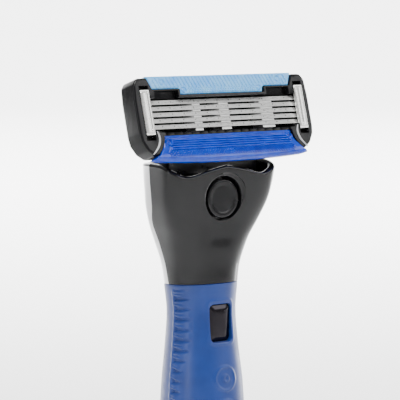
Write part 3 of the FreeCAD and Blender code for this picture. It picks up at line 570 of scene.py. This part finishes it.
def shell_rim(points, wavy):
    """The height where the shell ends above each point of its outline."""
    flat = np.full(len(points), NECK_TOP)
    if not wavy:
        return flat
    wave = wave_height(points[:, 0]) + WAVE_RISE * (points[:, 1] - WAVE_FRONT)
    blend = 0.35
    return -blend * np.log(np.exp(-wave / blend) + np.exp(-flat / blend))


def shell_line(height, front, inset, columns):
    """One level of the front or rear shell's surface, from its left edge to its right."""
    station = smooth_through(NECK, height)
    split = float(smooth_through(SPLIT, height)[0]) + (-0.03 if front else 0.03)
    turns = np.linspace(-math.pi / 2, math.pi / 2, 721)
    right = outline(station, turns, inset)
    edge = np.interp(split, right[:, 1], turns)
    span = np.linspace(-math.pi - edge, edge, 1201) if front else np.linspace(math.pi - edge, edge, 1201)
    return even_spread(outline(station, span, inset), columns)


def make_shell(name, front, rows=110, columns=180):
    """One half of the neck, as a walled sheet with a rounded top lip."""
    levels = np.linspace(100.5, 128.5, 113)
    skins = []
    for inset in (0.0, NECK_WALL):
        table = np.array([shell_line(level, front, inset, columns) for level in levels])
        rim = np.full(columns, NECK_TOP)
        foot = np.full(columns, SEAM_HEIGHT)
        for _ in range(6):
            at_rim = np.stack([
                [np.interp(rim[c], levels, table[:, c, axis]) for c in range(columns)] for axis in range(2)
            ], axis=-1)
            at_foot = np.stack([
                [np.interp(foot[c], levels, table[:, c, axis]) for c in range(columns)] for axis in range(2)
            ], axis=-1)
            rim = shell_rim(at_rim, front)
            foot = SEAM_HEIGHT - SEAM_SLOPE * at_foot[:, 1]
        if inset:
            rim = skins[0][1]
        rim = rim - NECK_WALL / 2
        share = np.linspace(0, 1, rows)[:, None]
        heights = foot + 0.03 + share * (rim - foot - 0.03)
        skin = np.zeros((rows, columns, 3))
        for column in range(columns):
            for axis in range(2):
                skin[:, column, axis] = np.interp(heights[:, column], levels, table[:, column, axis])
        skin[:, :, 2] = heights
        skins.append((skin, rim + NECK_WALL / 2))
    outer, inner = skins[0][0], skins[1][0]
    middle, half = (outer[-1] + inner[-1]) / 2, (outer[-1] - inner[-1]) / 2
    lift = np.array([0, 0, NECK_WALL / 2])
    turns = np.linspace(0, math.pi, 8)[1:-1]
    lip = [middle + half * math.cos(turn) + lift * math.sin(turn) for turn in turns]
    profile = np.concatenate([outer, np.array(lip), inner[::-1]])
    count = len(profile)
    faces = grid_faces(count, columns, close_rows=True)
    for edge in (0, columns - 1):
        for row in range(rows - 1):
            opposite = count - 1 - row
            faces.append((
                row * columns + edge, (row + 1) * columns + edge,
                (opposite - 1) * columns + edge, opposite * columns + edge,
            ))
        faces.append(tuple(row * columns + edge for row in range(rows - 1, rows + len(lip) + 1)))
    node = "neck_front_cover" if front else "neck_rear_shell"
    return add_object(name, profile.reshape(-1, 3), faces, "handle", node, smooth=40)


def turned_tool(name, profile, centre, segments=128):
    """A turned cutting tool along -Y: profile points are (radius, distance forwards)."""
    vertices = [
        (centre.x + r * math.cos(a), centre.y - forward, centre.z + r * math.sin(a))
        for r, forward in profile for a in (2 * math.pi * step / segments for step in range(segments))
    ]
    faces = grid_faces(len(profile), segments, close_columns=True)
    faces.append(tuple(range(segments)))
    faces.append(tuple(range((len(profile) - 1) * segments, len(profile) * segments)))
    return tool_object(name, vertices, faces)


def make_neck():
    """Glossy front cover with the bevelled button hole, and the plated rear shell."""
    cover = make_shell("front_cover", True)
    width, depth = 0.55, 0.62
    rounded = [
        (BUTTON_HOLE + width - width * math.cos(turn), COVER_FACE - depth + depth * math.sin(turn))
        for turn in np.linspace(0, math.pi / 2, 9)
    ]
    mouth = BUTTON_HOLE + 0.9
    profile = [(BUTTON_HOLE, 0.0)] + rounded + [(mouth, COVER_FACE + 0.3), (mouth, 14.0)]
    drill(cover, turned_tool("hole_tool", profile, Vector((0, 0, BUTTON_HEIGHT))))
    shade(cover, 32)
    dress(cover, "cover_gloss")
    dress(make_shell("rear_shell", False), "shell_chrome")


def make_button():
    """The button's dished face with its rounded rim."""
    rim, face = 3.81, 7.66
    profile = [(0.0, face - 0.26), (1.6, face - 0.23), (2.45, face - 0.15), (2.85, face - 0.05), (3.2, face)]
    profile += [
        (rim - 0.35 + 0.35 * math.sin(turn), face - 0.35 + 0.35 * math.cos(turn))
        for turn in np.linspace(0.1, math.pi / 2, 6)
    ]
    profile += [(rim, 6.4), (3.0, 6.4)]
    cap = lathe(
        "button_face", profile, Vector((0, 0, BUTTON_HEIGHT)), Vector((0, -1, 0)), "button",
        segments=128, smooth=50,
    )
    dress(cap, "button_plastic")
    dress(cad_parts["release_button"], "button_plastic")


# ---------------------------------------------------------------- grip

def rib_relief(turns, height):
    """Transverse ribs on both flanks: a rounded saw tooth with a finer line between, shorter lower down."""
    from_front = np.degrees(np.abs(turns))
    front_end = 51 + 16 * smooth_step(92, 84, height)
    along = smooth_step(front_end, front_end + 7, from_front) * (1 - smooth_step(84, 88, from_front))
    along *= smooth_step(74, 80, height) * (1 - smooth_step(101.2, 101.9, height))
    phase = np.mod((height - 100.9) / RIB_PITCH, 1.0)
    outer = smooth_step(front_end, 86, from_front)
    tooth = 1 - np.exp(-((phase - 0.5) / (0.11 + 0.13 * outer)) ** 4)
    fine = np.exp(-(np.minimum(phase, 1 - phase) / 0.06) ** 2)
    fine *= smooth_step(front_end + 10, front_end + 20, from_front)
    ridge = np.exp(-((from_front - 89) / 2.6) ** 2)
    ridge *= smooth_step(70, 80, height)
    ridge *= 1 - smooth_step(100.5, 102, height)
    scallop = 0.5 + 0.5 * np.cos(2 * math.pi * phase)
    ribs = along * (0.35 + 0.65 * outer) * (0.62 * tooth - 0.42 - 0.16 * fine)
    return ribs + 0.22 * ridge * (0.35 + 0.65 * scallop)


def ring_relief(x, height):
    """A column of raised thumb rings on the front, each with a small ring in its middle."""
    raised = np.zeros_like(x)
    for centre in np.arange(RING_TOP, RING_END, -RING_PITCH):
        away = np.hypot(x, height - centre)
        outer = 0.20 * np.exp(-((away - 2.35) / 0.26) ** 2)
        raised += outer + 0.18 * np.exp(-((away - 0.62) / 0.22) ** 2)
    return raised


def window_relief(x, height):
    """A soft raised lip round the window of the inlay."""
    across = np.abs(x) - 1.75
    along = np.abs(height - WINDOW_MIDDLE) - 2.95
    away = np.hypot(np.maximum(across, 0), np.maximum(along, 0))
    away += np.minimum(np.maximum(across, along), 0)
    return 0.12 * np.exp(-((away - 1.25) / 0.28) ** 2)


def rear_relief(turns, height):
    """Shallow finger ribs across the back of the grip."""
    from_back = 180 - np.degrees(np.abs(turns))
    zone = (1 - smooth_step(24, 32, from_back)) * smooth_step(30, 36, height)
    zone *= 1 - smooth_step(88, 94, height)
    wave_length = 3.0
    return 0.16 * zone * (np.cos(2 * math.pi * height / wave_length) ** 2 - 0.5)


def make_sleeve():
    """The rubber grip: ribbed flanks, thumb rings, and a window for the inlay."""
    columns = 216
    heights = np.concatenate([
        [102.7, 102.67, 102.6, 102.5, 102.35],
        np.arange(102.2, 72, -0.15), np.arange(72, 42, -0.22), np.arange(42, 6.4, -0.55), [6.3, 6.15, 6.05],
    ])
    turns = np.linspace(-math.pi, math.pi, columns, endpoint=False)
    rows = []
    for height in heights:
        station = smooth_through(GRIP, height)
        ring = outline(station, turns - math.pi / 2)
        raised = rib_relief(turns, height) + rear_relief(turns, height)
        front = np.abs(turns) < math.radians(60)
        details = ring_relief(ring[:, 0], height) + window_relief(ring[:, 0], height)
        raised = raised + np.where(front, details, 0)
        depth = min(SEAM_HEIGHT - height, height - SLEEVE_FOOT)
        if depth < 0.3:
            raised = raised - 0.3 + math.sqrt(0.09 - (0.3 - depth) ** 2)
        outward = ring - [0, station[2]]
        outward /= np.linalg.norm(outward, axis=1)[:, None]
        ring = ring + outward * raised[:, None]
        tilt = max(0.0, (height - 90) / (SEAM_HEIGHT - 90))
        level = height - SEAM_SLOPE * ring[:, 1] * tilt - 0.03 * tilt
        rows.append(np.column_stack([ring, level]))
    for level in (SLEEVE_FOOT, SEAM_HEIGHT):
        bore = SLEEVE_BORE * np.stack([np.sin(turns), -np.cos(turns)], axis=-1)
        slope = SEAM_SLOPE * bore[:, 1] if level == SEAM_HEIGHT else 0 * turns
        rows.append(np.column_stack([bore, level - slope - 0.02]))
    points = np.concatenate(rows)
    faces = grid_faces(len(rows), columns, close_rows=True, close_columns=True)
    sleeve = add_object("grip_rubber_sleeve", points, faces, "handle", "grip_sleeve", smooth=45)
    low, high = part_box("grip_inlay")
    gap = 0.12
    half, middle = (high.x - low.x) / MM / 2 + gap, (high.z + low.z) / MM / 2
    tall = (high.z - low.z) / MM / 2 + gap
    edge = rounded_rectangle(half, tall, 0.95, 10)
    vertices = [(x, y, middle + z) for y in (-12.0, -4.0) for x, z in edge]
    count = len(edge)
    sides = grid_faces(2, count, close_columns=True)
    ends = [tuple(range(count)), tuple(range(count, 2 * count))]
    drill(sleeve, tool_object("window_tool", vertices, sides + ends))
    shade(sleeve, 45)
    dress(sleeve, "grip_rubber")


def rounded_rectangle(half_width, half_height, radius, steps):
    """Points round a rectangle with rounded corners."""
    points = []
    for quarter, (sx, sz) in enumerate(((1, 1), (-1, 1), (-1, -1), (1, -1))):
        for step in range(steps + 1):
            turn = math.pi / 2 * (quarter + step / steps)
            points.append((
                sx * (half_width - radius) + radius * math.cos(turn),
                sz * (half_height - radius) + radius * math.sin(turn),
            ))
    return points


def make_inlay():
    """The plated pill: a face crowned across its width, with rolled edges."""
    low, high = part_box("grip_inlay")
    half, tall = (high.x - low.x) / MM / 2, (high.z - low.z) / MM / 2
    middle, face, back = (high.z + low.z) / MM / 2, -low.y / MM, -high.y / MM
    edge = rounded_rectangle(half, tall, 0.85, 12)
    vertices = [(x, -back, middle + z) for x, z in edge]
    for roll in np.linspace(0, math.pi / 2, 8):
        inset = 0.35 * (1 - math.cos(roll))
        vertices += [
            (x * (1 - inset / half), -(face - 0.75 + 0.35 * math.sin(roll)), middle + z * (1 - inset / tall))
            for x, z in edge
        ]
    for share in (0.9, 0.8, 0.7, 0.6, 0.5, 0.4, 0.3, 0.2, 0.1, 0.03):
        for x, z in edge:
            across = share * x * (1 - 0.35 / half)
            crown = 0.38 * (1 - (across / half) ** 2) * (1 - share ** 8)
            vertices.append((across, -(face - 0.40 + crown), middle + share * z * (1 - 0.35 / tall)))
    count = len(edge)
    rows = len(vertices) // count
    faces = grid_faces(rows, count, close_columns=True)
    faces += [tuple(range(count)), tuple(range((rows - 1) * count, rows * count))]
    dress(add_object("inlay_pill", vertices, faces, "handle", "grip_inlay", smooth=60), "inlay_chrome")


def make_butt():
    """The rounded end cap with its flat foot."""
    top, foot, flat = 6.0, 0.0, 3.9
    bulge = [
        (flat + 1.9 * math.sin(turn), foot + 2.6 * (1 - math.cos(turn)))
        for turn in np.linspace(0.05, math.pi / 2, 12)
    ]
    bore = 4.66
    wall = [(5.84, 4.0), (5.86, 5.5), (5.7, 5.85), (5.5, top), (bore, top), (bore, 4.15)]
    profile = [(flat, foot)] + bulge + wall
    cap = lathe("butt_end", profile, Vector((0, 0, 0)), Vector((0, 0, 1)), "handle", "butt_cap", smooth=35)
    dress(cap, "butt_plastic")


# ---------------------------------------------------------------- head

def dash(across, along, centre_v, pitch, offset, lean, length, width):
    """One row of leaning dimples: 1 in the middle of each, 0 outside."""
    near = np.round((across - offset) / pitch) * pitch + offset
    du, dv = across - near, along - centre_v
    cos, sin = math.cos(lean), math.sin(lean)
    away = ((du * cos + dv * sin) / (length / 2)) ** 2 + ((dv * cos - du * sin) / (width / 2)) ** 2
    return np.exp(-away ** 1.5)


def strip_height(across, along):
    """Top of the lubricating strip: rows of dimples, a ring at each end, and rounded edges."""
    dents = np.zeros_like(across)
    half = 16.6
    inside = smooth_step(half, half - 0.4, np.abs(across))
    lean_out, lean_in = math.radians(-58), math.radians(52)
    for row in range(5):
        dents += dash(across, along, 7.12 - 0.44 * row, 0.87, 0.22 * row, lean_out, 0.46, 0.22) * inside
    for row in range(2):
        dents += dash(across, along, 5.0 - 0.36 * row, 0.62, 0.31 * row, lean_in, 0.36, 0.17) * inside
    dents += dash(across, along, 4.2, 0.62, 0.15, 0.0, 0.3, 0.3) * inside
    for place, v in ((-14.2, 6.35), (14.2, 6.35), (-9.2, 4.65), (9.2, 4.65)):
        away = np.hypot(across - place, along - v)
        clear = smooth_step(0.75, 1.15, away)
        dents = dents * clear + 1.1 * np.exp(-((away - 0.5) / 0.14) ** 2)
    heights = [LOBE_LOW, 4.95, STRIP_SHOULDER, STRIP_TOP]
    wide = np.interp(along, heights, [LOBE_FOOT_HALF, LOBE_HALF, STRIP_CORNER, STRIP_HALF])
    rim = np.minimum(np.minimum(wide - np.abs(across), 7.62 - along), along - 3.84)
    rim = np.where(np.abs(across) > 10.35, np.minimum(rim, along - 4.99), rim)
    rounding = 0.22 * (1 - np.clip(rim / 0.3, 0, 1)) ** 2
    return 0.34 + 0.05 * np.cos(across / STRIP_HALF * 1.2) - 0.17 * dents - rounding


def make_strip():
    """The dimpled lubricating strip, wide above and with a deeper lobe in the middle."""
    rows = []
    ends, middle = 66, 206
    for v in np.concatenate([np.arange(STRIP_TOP, 5.02, -0.09), [STRIP_SHOULDER]]):
        wide = np.interp(v, [STRIP_SHOULDER, STRIP_TOP], [STRIP_CORNER, STRIP_HALF])
        left = np.linspace(-wide, -LOBE_HALF, ends, endpoint=False)
        across = np.concatenate([left, np.linspace(-LOBE_HALF, LOBE_HALF, middle), -left[::-1]])
        rows.append((0, across, np.full(len(across), v)))
    for v in np.concatenate([np.arange(4.91, 3.9, -0.09), [LOBE_LOW]]):
        half = np.interp(v, [LOBE_LOW, 4.95], [LOBE_FOOT_HALF, LOBE_HALF])
        across = np.linspace(-half, half, middle)
        rows.append((ends, across, np.full(middle, v)))
    strip = relief("strip_bar", rows, -1.0, strip_height, "cartridge", "lubricating_strip")
    dress(strip, "strip_polymer")


def guard_height(across, along):
    """Top of the rubber guard: long fins, two rows of leaning ticks, end rings, and a smooth rolled lip."""
    down = -along
    lip = -np.interp(across, *zip(*GUARD_LIP))
    base = 0.10 + 0.85 * smooth_step(4.3, 8.3, down)
    ends = 14.2 + 0.3 * (down - 4.6)
    inside = smooth_step(ends, ends - 0.5, np.abs(across))
    rail = np.exp(-((down - 4.45) / 0.13) ** 2)
    fins = np.abs(np.sin(math.pi * (down - 4.8) / 0.46)) ** 0.8
    fins = np.where((down > 4.8) & (down < 7.1), fins, 0.0)
    lean = np.where(across < 0, 1.0, -1.0)
    marks = np.zeros_like(across)
    for middle, long, pitch in ((7.42, 0.30, 0.60), (8.02, 0.34, 0.60)):
        phase = np.mod((across + lean * 0.95 * (down - middle)) / pitch, 1.0)
        tick = np.exp(-((phase - 0.5) / 0.22) ** 2) * np.exp(-((down - middle) / long) ** 4)
        marks += tick * smooth_step(15.3, 14.9, np.abs(across))
    for side in (-1, 1):
        away = np.hypot(across - side * 14.75, down - 5.45)
        marks += 1.2 * np.exp(-((away - 0.62) / 0.15) ** 2)
        for step in range(4):
            spot = np.hypot(across - side * (14.5 + 0.28 * step), down - 6.55 - 0.36 * step)
            marks += 1.1 * np.exp(-(spot / 0.17) ** 2)
    roll = np.clip((down - (lip - 0.75)) / 0.75, 0, 1)
    wide = np.interp(down, *zip(*[(-v, u) for u, v in GUARD_SIDE]))
    edge = np.clip(1 - (wide - np.abs(across)) / 0.4, 0, 1)
    return base + 0.34 * inside * fins + 0.16 * rail + 0.36 * marks - 0.62 * roll ** 2.0 - 0.3 * edge ** 2


def make_guard():
    """The finned rubber guard, bowed at its lower lip and flared at its lower ends."""
    rows = []
    columns, count = 420, 90
    side = np.linspace(-1, 1, columns)
    heights = [v for _, v in GUARD_SIDE]
    for share in np.linspace(0, 1, count):
        wide = np.interp(-(heights[0] + (heights[-1] - heights[0]) * share), [-v for v in heights],
                         [u for u, _ in GUARD_SIDE])
        across = side * wide
        low = np.interp(across, *zip(*GUARD_LIP))
        along = heights[0] + (low - heights[0]) * share
        rows.append((0, across, along))
    guard = relief("guard_fins", rows, -0.95, guard_height, "cartridge", "guard_rubber")
    dress(guard, "guard_rubber")


def make_clips():
    """Crowned faces on the retaining clips, each with a rolled groove, over the bent sheet."""
    low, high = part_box("clip_right")
    inner, outer = low.x / MM, high.x / MM
    for side, node in ((1, "clip_right"), (-1, "clip_left")):
        def height(across, along):
            place = (np.abs(across) - inner) / (outer - inner)
            crown = 0.78 + 0.22 * np.sin(np.clip(place, 0, 1) * math.pi) ** 0.6
            groove = 0.26 * np.exp(-((place - 0.36) / 0.10) ** 2) * smooth_step(-3.3, -2.7, along)
            groove *= 1 - smooth_step(4.0, 4.45, along)
            ends = 0.4 * (smooth_step(4.4, CLIP_HIGH, along) + 1 - smooth_step(-CLIP_LOW, -3.5, along))
            return crown - groove - ends

        rows = [
            (0, side * np.linspace(inner, outer, 28), np.full(28, v))
            for v in np.linspace(CLIP_HIGH, -CLIP_LOW, 60)
        ]
        face = relief(f"clip_face_{'right' if side > 0 else 'left'}", rows, 0.7, height, "cartridge")
        dress(face, "clip_metal")
        dress(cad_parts[node], "clip_metal")


def make_blades():
    """Steel for the blades, supports and spacers, and the spot welds along each blade."""
    welds, faces = [], []
    weld_line, weld_pitch, sides = 0.52, 2.8, 10
    for number in range(1, BLADE_COUNT + 1):
        dress(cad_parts[f"blade_{number}"], "blade_steel")
        # The supports get the darkened steel: painted shade in the gaps between the blades.
        dress(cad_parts[f"blade_support_{number}"], "support_steel")
        middle = BLADE_FIRST - BLADE_PITCH * (number - 1) + weld_line
        shift = 0.35 * (number % 2)
        for place in np.arange(-15.6, 16.0, weld_pitch) + shift:
            start = len(welds)
            for radius, rise in ((0.15, 0.0), (0.13, 0.035), (0.06, 0.02)):
                for step in range(sides):
                    turn = 2 * math.pi * step / sides
                    v = middle + radius * math.sin(turn)
                    surface = -BLADE_SINK * (v - middle + weld_line) / BLADE_WIDTH
                    welds.append(FACE @ Vector((place + radius * math.cos(turn), v, surface - 0.01 + rise)))
            faces += grid_faces(3, sides, start=start, close_columns=True)
            faces.append(tuple(range(start, start + sides)))
            faces.append(tuple(range(start + 2 * sides, start + 3 * sides)))
    spots = add_object("weld_spots", welds, faces, "cartridge")
    dress(spots, "weld_grey")
    for name in ("left", "middle", "right"):
        dress(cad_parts[f"blade_spacer_{name}"], "spacer_steel")


def make_head():
    """The housing with rounded edges, the strip, the guard, the clips and the blades."""
    dress(softened("frame_housing", "cartridge_frame", "cartridge", 0.14), "frame_plastic")
    make_strip()
    make_guard()
    make_clips()
    make_blades()
    make_rim_highlights()


def tube(name, points, radius, body, sides=10):
    """A round bead along a line of points."""
    vertices = []
    line = [Vector(p) for p in points]
    for index, point in enumerate(line):
        ahead = (line[min(index + 1, len(line) - 1)] - line[max(index - 1, 0)]).normalized()
        side = ahead.cross(Vector((0, 1, 0.3))).normalized()
        over = side.cross(ahead)
        taper = 0.35 + 0.65 * math.sin(math.pi * min(1, max(0, index / (len(line) - 1)))) ** 0.5
        for step in range(sides):
            turn = 2 * math.pi * step / sides
            vertices.append(point + radius * taper * (math.cos(turn) * side + math.sin(turn) * over))
    faces = grid_faces(len(line), sides, close_columns=True)
    faces += [tuple(range(sides)), tuple(range((len(line) - 1) * sides, len(line) * sides))]
    return add_object(name, vertices, faces, body, smooth=60)


def make_rim_highlights():
    """Painted highlights: light beads along the curve where the guard meets the end caps, standing for the
    light caught on the black housing's edge there.
    """
    for side, label in ((-1, "left"), (1, "right")):
        points = []
        for share in np.linspace(0, 1, 32):
            v = -3.2 - 4.5 * share
            u = np.interp(v, RIM_HEIGHTS, RIM_REACH)
            points.append(FACE @ Vector((side * u, v, 0.62)))
        dress(tube(f"painted_rim_highlight_{label}", points, 0.20, "cartridge"), "rim_highlight_paint")


def make_mechanism():
    """Finishes for the pieces that sit inside the neck."""
    dress(softened("hub_moulding", "docking_hub", "hub", 0.18), "hub_plastic")
    dress(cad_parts["return_plunger"], "hub_plastic")
    dress(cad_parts["handle_core"], "core_plastic")
    dress(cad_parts["ejector"], "core_plastic")
    dress(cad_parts["return_spring"], "spring_steel")
    dress(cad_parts["button_spring"], "spring_steel")


LOOKS["weld_grey"] = brushed_metal("weld_grey", (0.22, 0.22, 0.23), (0.34, 0.34, 0.34), 0.4, (1, 1, 1))
# Light grey paint for the rim beads: a painted highlight for the light on the housing's dark edge.
LOOKS["rim_highlight_paint"] = satin_plastic("rim_highlight_paint", (0.55, 0.56, 0.58), 0.25)

make_camera()
make_floor()
make_light()
make_neck()
make_button()
make_sleeve()
make_inlay()
make_butt()
make_head()
make_mechanism()

bpy.context.view_layer.update()
